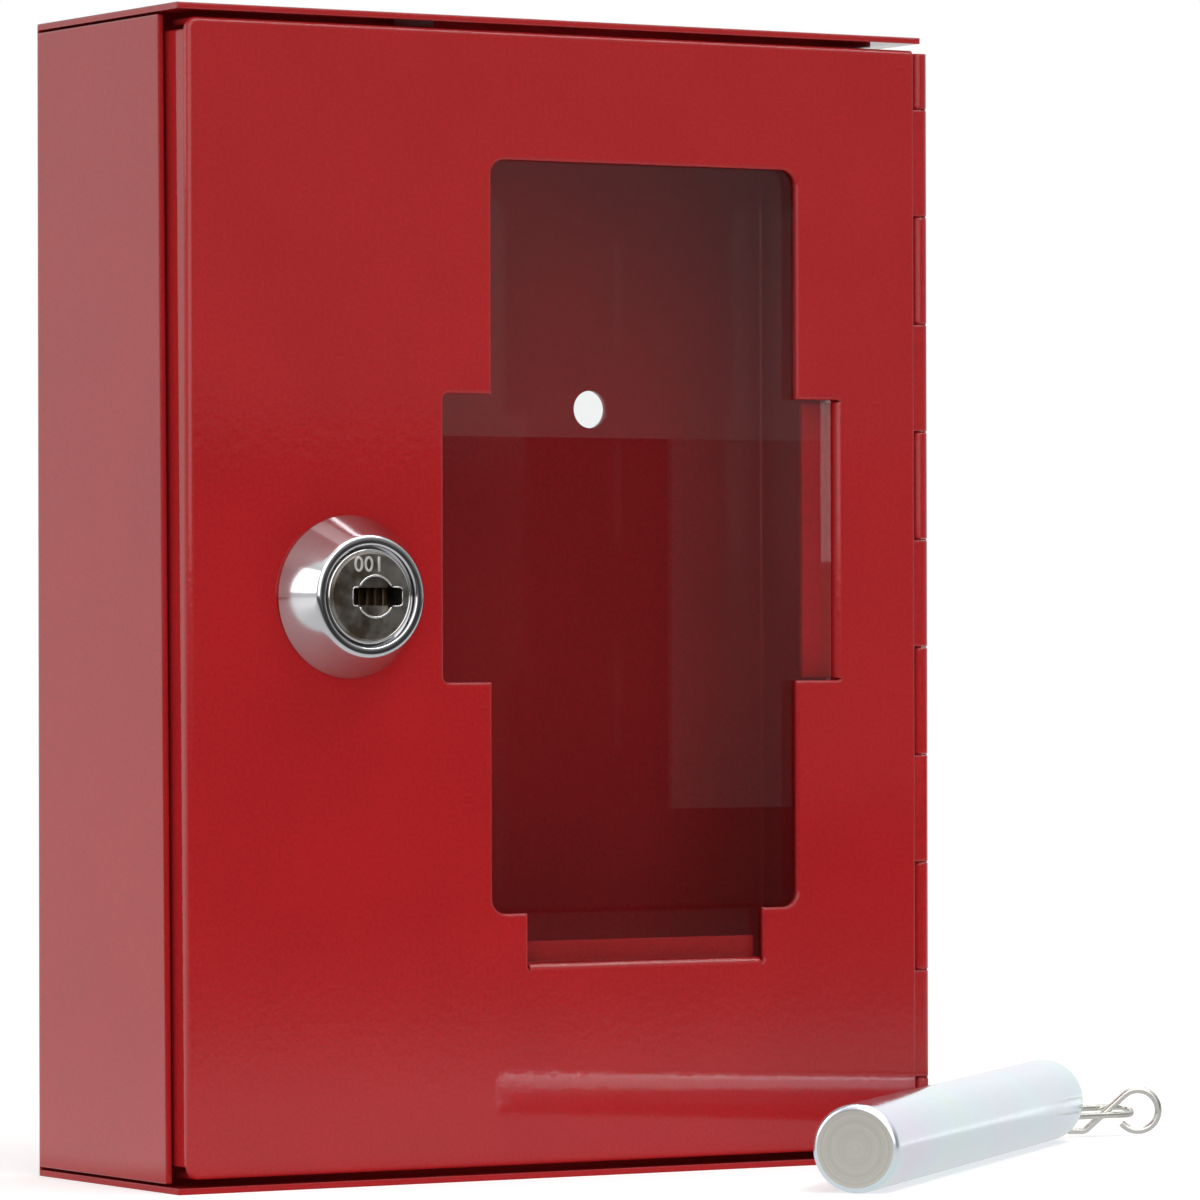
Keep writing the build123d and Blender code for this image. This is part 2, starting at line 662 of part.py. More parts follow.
export_step(casing.part, "parts/casing.step")
export_step(door.part, "parts/door.step")
export_step(hinge_pin.part, "parts/hinge_pin.step")
export_step(glass_pane.part, "parts/glass_pane.step")
for place, clip in clips.items():
    export_step(clip.part, f"parts/pane_clip_{place}.step")
export_step(lock_housing.part, "parts/lock_housing.step")
export_step(lock_plug.part, "parts/lock_plug.step")
export_step(plug_wafers.part, "parts/plug_wafers.step")
export_step(lock_washer.part, "parts/lock_washer.step")
export_step(lock_nut.part, "parts/lock_nut.step")
export_step(stop_washer.part, "parts/stop_washer.step")
export_step(lock_cam.part, "parts/lock_cam.step")
export_step(cam_washer.part, "parts/cam_washer.step")
export_step(cam_screw.part, "parts/cam_screw.step")
export_step(catch.part, "parts/catch.step")
export_step(key_hook.part, "parts/key_hook.step")
export_step(striker.part, "parts/striker.step")
export_step(striker_bail.part, "parts/striker_bail.step")
export_step(striker_link.part, "parts/striker_link.step")
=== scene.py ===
"""Break glass key box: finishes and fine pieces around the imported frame, laid out as an add-on."""
import json
import math

import bmesh
import bpy
import numpy as np
from bpy.props import FloatProperty, FloatVectorProperty, IntProperty, PointerProperty, StringProperty
from mathutils import Matrix, Vector


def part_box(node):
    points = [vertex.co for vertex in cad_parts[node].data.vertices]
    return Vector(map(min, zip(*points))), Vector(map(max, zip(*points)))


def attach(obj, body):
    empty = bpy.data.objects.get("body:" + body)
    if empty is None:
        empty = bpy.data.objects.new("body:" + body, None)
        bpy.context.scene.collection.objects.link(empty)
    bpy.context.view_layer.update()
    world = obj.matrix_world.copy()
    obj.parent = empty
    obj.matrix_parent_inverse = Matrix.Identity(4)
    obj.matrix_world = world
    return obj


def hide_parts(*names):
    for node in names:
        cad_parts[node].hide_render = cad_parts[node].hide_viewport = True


bl_info = {
    "name": "Break Glass Key Box",
    "version": (1, 0, 0),
    "blender": (4, 5, 0),
    "location": "View3D > Sidebar > Key Box",
    "description": "Red sheet steel key box with a glazed door, a cam lock and a striker",
    "category": "Object",
}

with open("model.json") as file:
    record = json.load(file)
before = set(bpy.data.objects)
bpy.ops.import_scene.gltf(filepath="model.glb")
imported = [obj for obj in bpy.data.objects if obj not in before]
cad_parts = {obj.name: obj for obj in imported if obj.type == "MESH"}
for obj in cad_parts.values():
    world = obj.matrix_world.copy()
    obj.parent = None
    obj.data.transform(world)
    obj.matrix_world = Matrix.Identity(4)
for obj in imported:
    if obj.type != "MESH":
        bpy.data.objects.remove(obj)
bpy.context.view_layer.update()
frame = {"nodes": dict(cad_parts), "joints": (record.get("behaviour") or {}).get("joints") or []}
NODES = frame["nodes"]
TURN = 2 * math.pi
MM = 0.001
WHITE = (1.0, 1.0, 1.0, 1.0)

# The camera stands where the photograph was taken from, worked out for a 1200 by 1200 image.
IMAGE_SIDE = 1200.0
FOCAL_PIXELS = 7171.05
SENSOR = 36.0
SOFT_LIGHT = 0.28              # world's even light
CARD_PLANE = -1.2              # Y of the plane that holds the two cards
DARK_CARD = (0.535, 0.746, 0.014, 0.134)       # left, right, low and high edge
DIM_CARD = (0.746, 0.996, 0.014, 0.134)
CAMERA_PLACE = (-0.47595, -0.81869, 0.07019)
CAMERA_YAW = 0.542829831
CAMERA_PITCH = 0.004958116
CAMERA_ROLL = -0.00224563


def joint_origin(name):
    """Origin of a joint in the shared frame."""
    found = [joint for joint in frame["joints"] if joint["name"] == name]
    return np.array(found[0]["pos_m"])


LOCK_ORIGIN = joint_origin("lock_turn")        # on the door's front face
OUTWARDS = np.array((0.0, -1.0, 0.0))          # out of the door
RIGHTWARDS = np.array((1.0, 0.0, 0.0))
UPWARDS = np.array((0.0, 0.0, 1.0))
DISH_PLACE = np.array((0.0007, 0.00004, 0.0))     # middle of the plug's dish, from its face's middle
KEYWAY_PLACE = np.array((0.0010, 0.00004, 0.0))   # middle of the keyway
DIGIT_PLACE = np.array((-0.0003, 0.0, 0.0040))    # middle of the digits
DIGIT_SHARE = 0.70             # height of a digit, in shares of the letter size


# ------------------------------------------------------------------ settings
class KeyboxPaint(bpy.types.PropertyGroup):
    """Powder coat on the casing and the door."""
    colour: FloatVectorProperty(
        name="Paint", description="Colour of the powder coat", subtype="COLOR",
        size=3, min=0.0, max=1.0, default=(0.345, 0.0125, 0.0145))
    gloss: FloatProperty(
        name="Gloss roughness", description="Roughness of the coat's shine", subtype="FACTOR",
        min=0.0, max=1.0, default=0.055)
    peel: FloatProperty(
        name="Orange peel", description="Spacing of the coat's fine ripple", subtype="DISTANCE",
        unit="LENGTH", min=0.0002, max=0.01, default=0.0012)
    edge: FloatProperty(
        name="Edge rounding", description="Radius to which the coat rounds a cut edge",
        subtype="DISTANCE", unit="LENGTH", min=0.0, max=0.002, default=0.0005)


class KeyboxHinge(bpy.types.PropertyGroup):
    """Gaps between the hinge's knuckles, which the coat fills."""
    first: FloatProperty(
        name="First gap", description="Height of the lowest gap's middle", subtype="DISTANCE",
        unit="LENGTH", min=0.001, max=0.5, default=0.01105)
    pitch: FloatProperty(
        name="Pitch", description="Distance from one gap to the next", subtype="DISTANCE",
        unit="LENGTH", min=0.001, max=0.1, default=0.01438)
    count: IntProperty(name="Gaps", description="Number of gaps", min=1, max=60, default=10)
    gap: FloatProperty(
        name="Gap", description="Height of the coat in a gap", subtype="DISTANCE",
        unit="LENGTH", min=0.00001, max=0.005, default=0.0002)
    radius: FloatProperty(
        name="Radius", description="Radius of the coat round the pin", subtype="DISTANCE",
        unit="LENGTH", min=0.0005, max=0.01, default=0.00115)


class KeyboxLock(bpy.types.PropertyGroup):
    """Cam lock in the door."""
    rosette_radius: FloatProperty(
        name="Rosette radius", description="Radius of the cone where it meets the door",
        subtype="DISTANCE", unit="LENGTH", min=0.002, max=0.05, default=0.0104)
    height: FloatProperty(
        name="Height", description="How far the rosette stands out of the door",
        subtype="DISTANCE", unit="LENGTH", min=0.0005, max=0.02, default=0.0059)
    rim_radius: FloatProperty(
        name="Rim radius", description="Radius of the crest of the rounded front rim",
        subtype="DISTANCE", unit="LENGTH", min=0.002, max=0.05, default=0.0071)
    plug_radius: FloatProperty(
        name="Plug radius", description="Radius of the plug that turns in the lock",
        subtype="DISTANCE", unit="LENGTH", min=0.001, max=0.05, default=0.0061)
    barrel_radius: FloatProperty(
        name="Barrel radius", description="Outside radius of the thread", subtype="DISTANCE",
        unit="LENGTH", min=0.002, max=0.05, default=0.009)
    barrel_length: FloatProperty(
        name="Barrel length", description="Length of the barrel behind the door's face",
        subtype="DISTANCE", unit="LENGTH", min=0.002, max=0.05, default=0.012)
    flats: FloatProperty(
        name="Flats", description="Distance across the barrel's two flats", subtype="DISTANCE",
        unit="LENGTH", min=0.002, max=0.05, default=0.0164)
    thread_pitch: FloatProperty(
        name="Thread pitch", description="Pitch of the thread on the barrel",
        subtype="DISTANCE", unit="LENGTH", min=0.0003, max=0.003, default=0.001)
    number: StringProperty(
        name="Number", description="Plain digits on the plug's face", default="001")
    digit_height: FloatProperty(
        name="Digit height", description="Height of the digits", subtype="DISTANCE",
        unit="LENGTH", min=0.0005, max=0.01, default=0.0019)


class KeyboxStriker(bpy.types.PropertyGroup):
    """Steel rod that breaks the pane, with its wire bail and link."""
    end_round: FloatProperty(
        name="End rounding", description="Rounding of the end that carries the bail",
        subtype="DISTANCE", unit="LENGTH", min=0.0001, max=0.005, default=0.0024)
    near_round: FloatProperty(
        name="Near rounding", description="Rounding of the plain end", subtype="DISTANCE",
        unit="LENGTH", min=0.0001, max=0.005, default=0.00081)
    length: FloatProperty(
        name="Length", description="Length of the rod", subtype="DISTANCE", unit="LENGTH",
        min=0.01, max=0.5, default=0.1)
    bail_wire: FloatProperty(
        name="Bail wire", description="Radius of the bail's wire", subtype="DISTANCE",
        unit="LENGTH", min=0.0001, max=0.005, default=0.00045)
    link_wire: FloatProperty(
        name="Link wire", description="Radius of the link's wire", subtype="DISTANCE",
        unit="LENGTH", min=0.0001, max=0.005, default=0.0005)
    link_radius: FloatProperty(
        name="Link radius", description="Radius of the link's ring to the wire's middle",
        subtype="DISTANCE", unit="LENGTH", min=0.0005, max=0.02, default=0.00285)
    heading: FloatProperty(
        name="Heading", description="Direction of the rod on the floor, from the frame's X axis",
        subtype="ANGLE", unit="ROTATION", default=math.radians(41.4))
    segments: IntProperty(
        name="Segments", description="Facets round the rod", min=16, max=512, default=160)


class KeyboxSettings(bpy.types.PropertyGroup):
    """Everything that a user would change."""
    paint: PointerProperty(type=KeyboxPaint)
    hinge: PointerProperty(type=KeyboxHinge)
    lock: PointerProperty(type=KeyboxLock)
    striker: PointerProperty(type=KeyboxStriker)


def settings():
    """The scene's settings for the key box."""
    return bpy.context.scene.keybox


# ------------------------------------------------------------------ materials
def new_material(name):
    """An empty node material, its node tree and its output node."""
    material = bpy.data.materials.new(name)
    material.use_nodes = True
    tree = material.node_tree
    tree.nodes.clear()
    output = tree.nodes.new("ShaderNodeOutputMaterial")
    return material, tree, output


def add_node(tree, kind, **values):
    """Adds a node; lower-case names set its properties, and inputs is a dict of socket values."""
    node = tree.nodes.new(kind)
    inputs = values.pop("inputs", {})
    for key, value in values.items():
        setattr(node, key, value)
    for key, value in inputs.items():
        node.inputs[key].default_value = value
    return node


def object_noise(tree, scale, detail=4.0, roughness=0.5, stretch=(1, 1, 1)):
    """Noise on Object coordinates, with a Mapping node that stretches it."""
    place = add_node(tree, "ShaderNodeTexCoord")
    mapping = add_node(tree, "ShaderNodeMapping")
    mapping.inputs["Scale"].default_value = stretch
    noise = add_node(tree, "ShaderNodeTexNoise",
                     inputs={"Scale": scale, "Detail": detail, "Roughness": roughness})
    tree.links.new(place.outputs["Object"], mapping.inputs["Vector"])
    tree.links.new(mapping.outputs["Vector"], noise.inputs["Vector"])
    return noise


def ramp(tree, source, stops):
    """Colour ramp from (position, grey or colour) stops, fed by a socket."""
    node = add_node(tree, "ShaderNodeValToRGB")
    elements = node.color_ramp.elements
    while len(elements) > 1:
        elements.remove(elements[-1])
    for index, (position, colour) in enumerate(stops):
        element = elements[0] if index == 0 else elements.new(position)
        element.position = position
        element.color = (*colour, 1.0) if isinstance(colour, tuple) else (colour, colour, colour, 1.0)
    tree.links.new(source, node.inputs["Fac"])
    return node


def bump(tree, height, strength, distance, normal=None):
    """Bump node fed by a height socket, over another normal where one is given."""
    node = add_node(tree, "ShaderNodeBump", inputs={"Strength": strength, "Distance": distance})
    tree.links.new(height, node.inputs["Height"])
    if normal is not None:
        tree.links.new(normal, node.inputs["Normal"])
    return node


def mixed_shaders(tree, factor, first, second):
    """Mix Shader node: the first node's shader where the factor socket is 0, the second's where 1."""
    node = add_node(tree, "ShaderNodeMixShader")
    tree.links.new(factor, node.inputs["Fac"])
    tree.links.new(first.outputs[0], node.inputs[1])
    tree.links.new(second.outputs[0], node.inputs[2])
    return node


def added_shaders(tree, first, second):
    """Add Shader node for the shaders of two nodes."""
    node = add_node(tree, "ShaderNodeAddShader")
    tree.links.new(first.outputs[0], node.inputs[0])
    tree.links.new(second.outputs[0], node.inputs[1])
    return node


def either_socket(tree, first, second):
    """Socket with the larger of two values."""
    node = add_node(tree, "ShaderNodeMath", operation="MAXIMUM")
    tree.links.new(first, node.inputs[0])
    tree.links.new(second, node.inputs[1])
    return node.outputs["Value"]


def paint_material():
    """Red powder coat: a sharp shine broken by orange peel, slightly cloudy and speckled colour,
    edges that the coat rounds, and painted shade: less shine down in the gaps and recesses, taken from
    ambient occlusion."""
    paint = settings().paint
    material, tree, output = new_material("red_powder_coat")
    shader = add_node(tree, "ShaderNodeBsdfPrincipled", inputs={"Roughness": paint.gloss, "IOR": 1.5})
    cloud = object_noise(tree, 60.0, 3.0)
    shade = ramp(tree, cloud.outputs["Fac"], [
        (0.25, tuple(value * 0.95 for value in paint.colour)),
        (0.75, tuple(value * 1.05 for value in paint.colour))])
    speck = object_noise(tree, 2200.0, 2.0)
    speck_shade = ramp(tree, speck.outputs["Fac"], [(0.3, 0.90), (0.7, 1.10)])
    mixed = add_node(tree, "ShaderNodeMix", data_type="RGBA", blend_type="MULTIPLY")
    mixed.inputs["Factor"].default_value = 1.0
    tree.links.new(shade.outputs["Color"], mixed.inputs["A"])
    tree.links.new(speck_shade.outputs["Color"], mixed.inputs["B"])
    tree.links.new(mixed.outputs["Result"], shader.inputs["Base Color"])
    rounded = add_node(tree, "ShaderNodeBevel", samples=6, inputs={"Radius": paint.edge})
    peel = object_noise(tree, 1.0 / paint.peel, 2.0, 0.45)
    fine = object_noise(tree, 3.2 / paint.peel, 2.0)
    first = bump(tree, peel.outputs["Fac"], 0.16, 0.00005, rounded.outputs["Normal"])
    second = bump(tree, fine.outputs["Fac"], 0.10, 0.00002, first.outputs["Normal"])
    tree.links.new(second.outputs["Normal"], shader.inputs["Normal"])
    # painted shade: ambient occlusion turns the coat's shine down in gaps, corners and recesses
    recess_occlusion = add_node(tree, "ShaderNodeAmbientOcclusion", samples=4, inputs={"Distance": 0.004})
    shine = add_node(tree, "ShaderNodeMapRange", inputs={
        "From Min": 0.6, "From Max": 0.95, "To Min": 0.05, "To Max": 0.5})
    tree.links.new(recess_occlusion.outputs["AO"], shine.inputs["Value"])
    tree.links.new(shine.outputs["Result"], shader.inputs["Specular IOR Level"])
    tree.links.new(shader.outputs["BSDF"], output.inputs["Surface"])
    return material


def metal_material(name, colour, roughness, grain, depth, stretch=(1, 1, 1), tint=None, cloud=140.0):
    """Bare or plated metal: grain as stretched noise in roughness and bump, with cloudy colour."""
    material, tree, output = new_material(name)
    shader = add_node(tree, "ShaderNodeBsdfPrincipled", inputs={"Metallic": 1.0})
    shades = object_noise(tree, cloud, 3.0)
    other = tint or tuple(value * 0.9 for value in colour)
    shade = ramp(tree, shades.outputs["Fac"], [(0.38, tuple(colour)), (0.62, tuple(other))])
    tree.links.new(shade.outputs["Color"], shader.inputs["Base Color"])
    lines = object_noise(tree, grain, 4.0, 0.6, stretch)
    rough = ramp(tree, lines.outputs["Fac"], [(0.3, roughness * 0.75), (0.7, min(1.0, roughness * 1.3))])
    tree.links.new(rough.outputs["Color"], shader.inputs["Roughness"])
    relief = bump(tree, lines.outputs["Fac"], 0.35, depth)
    tree.links.new(relief.outputs["Normal"], shader.inputs["Normal"])
    tree.links.new(shader.outputs["BSDF"], output.inputs["Surface"])
    return material


def plated_material():
    """Zinc plate on the rod: bluish white with faint green and violet bloom, and turning marks on the
    end faces as rings of the distance from the axis, which the mesh keeps as an attribute."""
    material, tree, output = new_material("rod_zinc")
    shader = add_node(tree, "ShaderNodeBsdfPrincipled", inputs={"Metallic": 0.93, "Roughness": 0.2})
    bloom = object_noise(tree, 42.0, 2.0, 0.5)
    shade = ramp(tree, bloom.outputs["Fac"], [
        (0.30, (0.80, 0.92, 0.84)), (0.50, (0.78, 0.91, 0.95)), (0.72, (0.84, 0.83, 0.95))])
    radius = add_node(tree, "ShaderNodeAttribute", attribute_name="face")
    rings = add_node(tree, "ShaderNodeTexNoise", noise_dimensions="1D",
                     inputs={"Scale": 9.0, "Detail": 4.0, "Roughness": 0.7})
    tree.links.new(radius.outputs["Fac"], rings.inputs["W"])
    ringed = ramp(tree, rings.outputs["Fac"], [(0.25, (0.60, 0.575, 0.52)), (0.75, (0.72, 0.70, 0.64))])
    on_face = add_node(tree, "ShaderNodeMath", operation="GREATER_THAN", inputs={1: 0.001})
    tree.links.new(radius.outputs["Fac"], on_face.inputs[0])
    mixed = add_node(tree, "ShaderNodeMix", data_type="RGBA")
    tree.links.new(on_face.outputs["Value"], mixed.inputs["Factor"])
    tree.links.new(shade.outputs["Color"], mixed.inputs["A"])
    tree.links.new(ringed.outputs["Color"], mixed.inputs["B"])
    tree.links.new(mixed.outputs["Result"], shader.inputs["Base Color"])
    grain = object_noise(tree, 650.0, 3.0, 0.6)
    rough = ramp(tree, grain.outputs["Fac"], [(0.3, 0.15), (0.7, 0.24)])
    tree.links.new(rough.outputs["Color"], shader.inputs["Roughness"])
    relief = bump(tree, grain.outputs["Fac"], 0.25, 0.00001)
    tree.links.new(relief.outputs["Normal"], shader.inputs["Normal"])
    tree.links.new(shader.outputs["BSDF"], output.inputs["Surface"])
    return material


def glass_material():
    """Clear float glass with a faint cloud; light passes straight through it to what lies behind."""
    material, tree, output = new_material("clear_float_glass")
    shader = add_node(tree, "ShaderNodeBsdfPrincipled", inputs={
        "Roughness": 0.0, "IOR": 1.5, "Transmission Weight": 1.0})
    cloud = object_noise(tree, 35.0, 3.0)
    tint = ramp(tree, cloud.outputs["Fac"], [(0.3, (0.90, 0.93, 0.92)), (0.7, (0.94, 0.96, 0.95))])
    tree.links.new(tint.outputs["Color"], shader.inputs["Base Color"])
    clear = add_node(tree, "ShaderNodeBsdfTransparent")
    tree.links.new(tint.outputs["Color"], clear.inputs["Color"])
    path = add_node(tree, "ShaderNodeLightPath")
    light_ray = either_socket(tree, path.outputs["Is Shadow Ray"], path.outputs["Is Diffuse Ray"])
    mix = mixed_shaders(tree, light_ray, shader, clear)
    tree.links.new(mix.outputs["Shader"], output.inputs["Surface"])
    return material


def dress(node_name, material):
    """Gives a CAD node one material."""
    mesh = NODES[node_name].data
    mesh.materials.clear()
    mesh.materials.append(material)


# ------------------------------------------------------------------ surfaces
def grid_faces(rows, columns, close_rows=False, close_columns=False):
    """Corner indices of the quads of a grid of points, wrapping where a direction closes."""
    row_count = rows if close_rows else rows - 1
    column_count = columns if close_columns else columns - 1
    row, column = np.meshgrid(np.arange(row_count), np.arange(column_count), indexing="ij")
    next_row = (row + 1) % rows
    next_column = (column + 1) % columns
    faces = np.stack([row * columns + column, row * columns + next_column,
                      next_row * columns + next_column, next_row * columns + column], axis=-1)
    return faces.reshape(-1, 4)


def surface_object(name, points, close_rows=False, close_columns=False, merge=1e-7, sharp=35.0):
    """Mesh object from a grid of points (rows, columns, 3): quads, poles merged, normals outwards."""
    rows, columns = points.shape[:2]
    mesh = bpy.data.meshes.new(name)
    mesh.from_pydata(points.reshape(-1, 3), [], grid_faces(rows, columns, close_rows, close_columns))
    work = bmesh.new()
    work.from_mesh(mesh)
    bmesh.ops.remove_doubles(work, verts=work.verts, dist=merge)
    bmesh.ops.dissolve_degenerate(work, edges=work.edges, dist=merge)
    bmesh.ops.recalc_face_normals(work, faces=work.faces)
    work.to_mesh(mesh)
    work.free()
    mesh.polygons.foreach_set("use_smooth", np.ones(len(mesh.polygons), bool))
    mesh.set_sharp_from_angle(angle=math.radians(sharp))
    piece = bpy.data.objects.new(name, mesh)
    bpy.context.scene.collection.objects.link(piece)
    return piece


def finish_piece(piece, material, body, slot_name, *nodes):
    """Material, body and the CAD nodes that the piece stands for; slot_name is not used."""
    piece.data.materials.clear()
    piece.data.materials.append(material)
    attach(piece, body)
    if nodes:
        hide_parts(*nodes)


def rounded_profile(corners, radii, steps=6):
    """Profile through corners, each rounded by a circle of its radius: the arc touches both sides
    at radius / tan(half the corner's angle) from the corner and is sampled at equal turns."""
    corners = np.asarray(corners, float)
    pieces = [corners[:1]]
    for index in range(1, len(corners) - 1):
        corner = corners[index]
        before = corners[index - 1] - corner
        after = corners[index + 1] - corner
        before /= np.linalg.norm(before)
        after /= np.linalg.norm(after)
        angle = math.acos(np.clip(before @ after, -1, 1))
        radius = radii[index]
        if radius <= 0:
            pieces.append(corner[None])
            continue
        reach = radius / math.tan(angle / 2)
        middle = (before + after) / np.linalg.norm(before + after)
        centre = corner + middle * radius / math.sin(angle / 2)
        start = corner + before * reach - centre
        end = corner + after * reach - centre
        turn = math.atan2(start[0] * end[1] - start[1] * end[0], start @ end)
        angles = np.linspace(0, turn, steps)
        cosines, sines = np.cos(angles), np.sin(angles)
        arc = np.stack([start[0] * cosines - start[1] * sines,
                        start[0] * sines + start[1] * cosines], axis=1)
        pieces.append(centre + arc)
    pieces.append(corners[-1:])
    return np.concatenate(pieces)


def lathe_points(profile, segments, origin, axis, start):
    """Surface of revolution: profile columns are (radius, distance along the axis); a point is
    origin + distance * axis + radius * (cos(angle) * start + sin(angle) * (axis x start))."""
    axis = np.asarray(axis, float)
    start = np.asarray(start, float)
    side = np.cross(axis, start)
    angles = np.arange(segments) * TURN / segments
    ring = np.cos(angles)[:, None] * start + np.sin(angles)[:, None] * side
    radius = profile[:, 0][:, None, None]
    along = profile[:, 1][:, None, None]
    return np.asarray(origin, float) + along * axis + radius * ring[None]


def tube_points(path, radius, normal, segments=24):
    """Round tube along a path: at each point the ring lies across the tangent, in the plane of a
    fixed normal and normal x tangent. normal may be one vector or one for each point."""
    tangent = np.gradient(path, axis=0)
    tangent /= np.linalg.norm(tangent, axis=1)[:, None]
    normals = np.broadcast_to(np.asarray(normal, float), path.shape)
    side = np.cross(tangent, normals)
    side /= np.linalg.norm(side, axis=1)[:, None]
    other = np.cross(side, tangent)
    angles = np.arange(segments) * TURN / segments
    ring = (np.cos(angles)[None, :, None] * side[:, None] + np.sin(angles)[None, :, None] * other[:, None])
    body = path[:, None] + radius * ring
    first = np.repeat(path[:1, None], segments, axis=1)
    last = np.repeat(path[-1:, None], segments, axis=1)
    return np.concatenate([first, body, last])


# ------------------------------------------------------------------ operators
def hinge_coat(name):
    """Coat in the gaps of the hinge: a surface of revolution about the pin whose radius is the coat's
    within half a gap of each height first + pitch * n, and just the pin's in between."""
    hinge = settings().hinge
    heights = hinge.first + hinge.pitch * np.arange(hinge.count)
    half = hinge.gap / 2
    along = (heights[:, None] + np.array((-half, -half, half, half))).ravel()
    pin = 0.42 * MM
    radius = np.tile((pin, hinge.radius, hinge.radius, pin), hinge.count)
    foot = joint_origin("door_hinge") * (1, 1, 0)
    profile = np.stack([radius, along], axis=1)
    points = lathe_points(profile, segments=48, origin=foot, axis=UPWARDS, start=RIGHTWARDS)
    return surface_object(name, points, close_columns=True)


class KEYBOX_OT_sheet_metal(bpy.types.Operator):
    """Paint the casing and the door, and finish the plain fittings"""
    bl_idname = "keybox.sheet_metal"
    bl_label = "Sheet metal"

    def execute(self, context):
        paint = paint_material()
        zinc = metal_material("zinc_plate", (0.78, 0.79, 0.80), roughness=0.34, grain=900.0, depth=0.00002)
        pin = metal_material("pin_steel", (0.50, 0.49, 0.47), roughness=0.38, grain=900.0,
                             depth=0.00001, stretch=(1, 1, 0.1))
        dress("casing", paint)
        dress("door", paint)
        finish_piece(hinge_coat("hinge_coat"), paint, "casing", "red_paint")
        dress("hinge_pin", pin)
        for name in ("catch", "key_hook", "pane_clip_upper", "pane_clip_lower", "lock_washer",
                     "stop_washer", "lock_cam", "cam_washer", "cam_screw"):
            dress(name, zinc)
        finish_piece(chamfered_nut("lock_nut_chamfered"), zinc, "door", "zinc", "lock_nut")
        return {"FINISHED"}


class KEYBOX_OT_pane(bpy.types.Operator):
    """Give the pane its glass"""
    bl_idname = "keybox.pane"
    bl_label = "Pane"

    def execute(self, context):
        dress("glass_pane", glass_material())
        return {"FINISHED"}


def chamfered_nut(name):
    """Hexagon nut. At angle a the hexagon's radius is flat / cos(((a + 30) mod 60) - 30 degrees); each
    row takes the smaller of that and the radius of the chamfer's cone at its distance along the axis."""
    low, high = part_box("lock_nut")
    flat = (high[0] - low[0]) / 2
    front, rear = low[1], high[1]
    bore = settings().lock.barrel_radius + 0.1 * MM
    chamfer = 0.4 * MM
    segments = 240
    cone = np.array([flat + chamfer, 2 * flat, 2 * flat, flat + chamfer])
    depth = np.array([front, front + chamfer, rear - chamfer, rear])
    angles = np.arange(segments) * TURN / segments
    sixth = TURN / 6
    hexagon = flat / np.cos((angles + sixth / 2) % sixth - sixth / 2)
    inside = np.full((1, segments), bore)
    radius = np.concatenate([inside, np.minimum(hexagon[None], cone[:, None]), inside])
    depth = np.concatenate([depth[:1], depth, depth[-1:]])
    points = np.stack([LOCK_ORIGIN[0] + radius * np.cos(angles),
                       np.broadcast_to(depth[:, None], radius.shape),
                       LOCK_ORIGIN[2] + radius * np.sin(angles)], axis=-1)
    return surface_object(name, points, close_rows=True, close_columns=True, sharp=25.0)


def smooth_rosette(name):
    """Lock body: rounded rim, cone, flange and flatted thread. Along the barrel the radius is
    barrel - thread * |saw(depth / pitch)|, and both sides are cut off at the flats."""
    lock = settings().lock
    front = lock.height
    counterbore, counterbore_floor = lock.plug_radius + 0.35 * MM, front - 1.0 * MM
    corners = [(counterbore, counterbore_floor), (counterbore, front),
               (lock.rim_radius + 0.55 * MM, front), (lock.rim_radius + 0.9 * MM, front - 0.7 * MM),
               (lock.rosette_radius, 0.4 * MM), (lock.rosette_radius, 0.0), (lock.barrel_radius, 0.0)]
    rounding = np.array((0, 0.35, 0.6, 0.2, 0.15, 0, 0)) * MM
    head = rounded_profile(corners, rounding, steps=10)
    pitch, thread_start, thread_depth = lock.thread_pitch, 0.8 * MM, 0.5 * MM
    depth = np.arange(thread_start, lock.barrel_length - pitch / 2, pitch / 8)
    saw = np.abs((depth / pitch) % 1.0 - 0.5) * 2
    thread = np.stack([lock.barrel_radius - thread_depth * saw, -depth], axis=1)
    end, end_radius = -lock.barrel_length, lock.barrel_radius - 0.6 * MM
    bore, end_bore, shoulder = lock.plug_radius + 0.08 * MM, 5.3 * MM, -9.2 * MM
    tail = np.array([(end_radius, end), (end_bore, end), (end_bore, shoulder), (bore, shoulder),
                     (bore, counterbore_floor)])
    profile = np.concatenate([head, thread, tail])
    points = lathe_points(profile, segments=192, origin=LOCK_ORIGIN, axis=OUTWARDS, start=RIGHTWARDS)
    behind = points[..., 1] > LOCK_ORIGIN[1] + 0.1 * MM
    half = lock.flats / 2
    height = points[..., 2] - LOCK_ORIGIN[2]
    points[..., 2] = np.where(behind, LOCK_ORIGIN[2] + np.clip(height, -half, half), points[..., 2])
    return surface_object(name, points, close_rows=True, close_columns=True, sharp=42.0)


def bead(name, centre, half_width, half_height, power, wire, low, high):
    """Half-sunk bead along an outline from one angle to another in degrees: x = half_width *
    |cos a| ** (2 / power), z likewise with sin, signs kept, so that 2 is an ellipse and more is a box
    with rounded corners. Unless it goes all the way round, it runs to a point at both ends."""
    count, sides = 193, 12
    angles = np.radians(np.linspace(low, high, count))
    cosines, sines = np.cos(angles), np.sin(angles)
    right = half_width * np.sign(cosines) * np.abs(cosines) ** (2 / power)
    up = half_height * np.sign(sines) * np.abs(sines) ** (2 / power)
    outline = np.stack([right, np.zeros(count), up], axis=1)
    away = outline / np.array((half_width, 1.0, half_height)) ** 2
    away /= np.linalg.norm(away, axis=1)[:, None]
    width = np.full(count, wire)
    if high - low < 360:
        taper = wire * np.minimum(1.0, np.sqrt(np.linspace(0, 24, count)))
        width = np.minimum(taper, taper[::-1])
    turns = (np.arange(sides) * TURN / sides)[:, None, None]
    points = centre + outline + width[:, None] * (np.cos(turns) * away + np.sin(turns) * OUTWARDS)
    return surface_object(name, points, close_rows=True)


